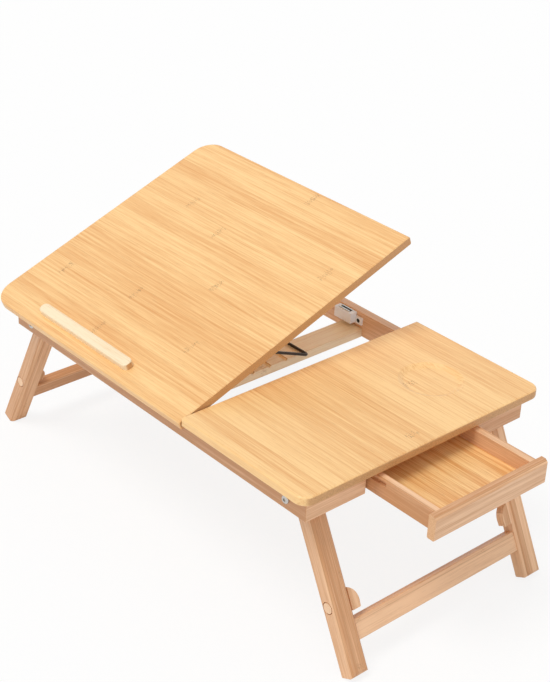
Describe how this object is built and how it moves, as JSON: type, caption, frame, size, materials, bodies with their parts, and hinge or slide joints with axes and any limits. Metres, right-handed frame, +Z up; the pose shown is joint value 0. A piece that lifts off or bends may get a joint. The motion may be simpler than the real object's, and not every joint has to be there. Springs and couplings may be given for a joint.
{
  "type": "laptop stand with drawer",
  "caption": "Folding bamboo bed desk: tilting laptop board on a notched wire stay, fixed side board with a cup recess, shallow side drawer and splayed folding legs.",
  "frame": {"origin": "on the floor under the middle of the whole object at rest, drawer out and board tilted", "axes": "+X towards the drawer end, +Y towards the back, where the tilting board rises, +Z up"},
  "size_m": [0.68, 0.3522, 0.3257],
  "materials": {
    "bamboo_top": "satin lacquered laminate, strips along X",
    "bamboo_frame": "satin lacquered solid strips",
    "bamboo_pale": "satin lacquered pale strips",
    "plated_steel": "zinc plated",
    "wire_steel": "dark round wire",
    "white_plastic": "moulded",
    "dark_metal": "blackened"
  },
  "bodies": {
    "frame": {"right_panel": "bamboo_top", "front_rail": "bamboo_frame", "back_rail": "bamboo_frame", "left_apron": "bamboo_frame", "right_apron_front": "bamboo_frame", "right_apron_back": "bamboo_frame", "cross_batten": "bamboo_frame", "support_slat": "bamboo_frame", "drawer_guide_front": "bamboo_frame", "drawer_guide_back": "bamboo_frame", "drawer_ledge_front": "bamboo_frame", "drawer_ledge_back": "bamboo_frame", "drawer_stop_pins": "plated_steel", "catch_body": "white_plastic", "catch_magnet": "dark_metal", "catch_pole_plates": "plated_steel", "catch_screw": "dark_metal", "hinge_rail_screws": "plated_steel", "pivot_bolts": "plated_steel", "pivot_washers": "plated_steel", "pivot_nuts": "plated_steel", "hinge_rail_leaf_left": "plated_steel", "hinge_rail_leaf_right": "plated_steel", "hinge_pin_left": "plated_steel", "hinge_pin_right": "plated_steel"},
    "tilt_board": {"tilt_panel": "bamboo_top", "laptop_ledge": "bamboo_pale", "hinge_board_leaf_left": "plated_steel", "hinge_board_leaf_right": "plated_steel", "hinge_board_screws": "plated_steel", "strike_plate": "plated_steel", "strike_screw": "plated_steel", "stay_bracket_left": "plated_steel", "stay_bracket_right": "plated_steel", "stay_bracket_screws": "plated_steel"},
    "stay": {"wire_stay": "wire_steel"},
    "drawer": {"drawer_front": "bamboo_frame", "drawer_side_front": "bamboo_frame", "drawer_side_back": "bamboo_frame", "drawer_back": "bamboo_frame", "drawer_bottom": "bamboo_pale"},
    "right_legs": {"leg_front_right": "bamboo_frame", "leg_back_right": "bamboo_frame", "finger_block_front_right": "bamboo_frame", "finger_block_back_right": "bamboo_frame", "leg_plug_front_right": "bamboo_pale", "leg_plug_back_right": "bamboo_pale", "crossbar_right": "bamboo_frame"},
    "left_legs": {"leg_front_left": "bamboo_frame", "leg_back_left": "bamboo_frame", "finger_block_front_left": "bamboo_frame", "finger_block_back_left": "bamboo_frame", "leg_plug_front_left": "bamboo_pale", "leg_plug_back_left": "bamboo_pale", "crossbar_left": "bamboo_frame"}
  },
  "joints": [
    {"name": "panel_tilt", "type": "hinge", "parent": "frame", "child": "tilt_board", "pos_m": [-0.1159, -0.15862, 0.2], "axis": [1, 0, 0], "range_deg": [-20.3, 30]},
    {"name": "stay_fold", "type": "hinge", "parent": "tilt_board", "child": "stay", "pos_m": [-0.0139, -0.06355, 0.23037], "axis": [1, 0, 0], "range_deg": [-53.8, 36.4]},
    {"name": "drawer_slide", "type": "slide", "parent": "frame", "child": "drawer", "axis": [1, 0, 0], "range_m": [-0.09, 0]},
    {"name": "right_legs_fold", "type": "hinge", "parent": "frame", "child": "right_legs", "pos_m": [0.2096, 0.00408, 0.181], "axis": [0, 1, 0], "range_deg": [0, 116.5]},
    {"name": "left_legs_fold", "type": "hinge", "parent": "frame", "child": "left_legs", "pos_m": [-0.2434, 0.00408, 0.181], "axis": [0, -1, 0], "range_deg": [0, 116.5]}
  ],
  "couplings": [
    {"joint": "stay_fold", "follows": "panel_tilt", "ratio": -1.79}
  ]
}
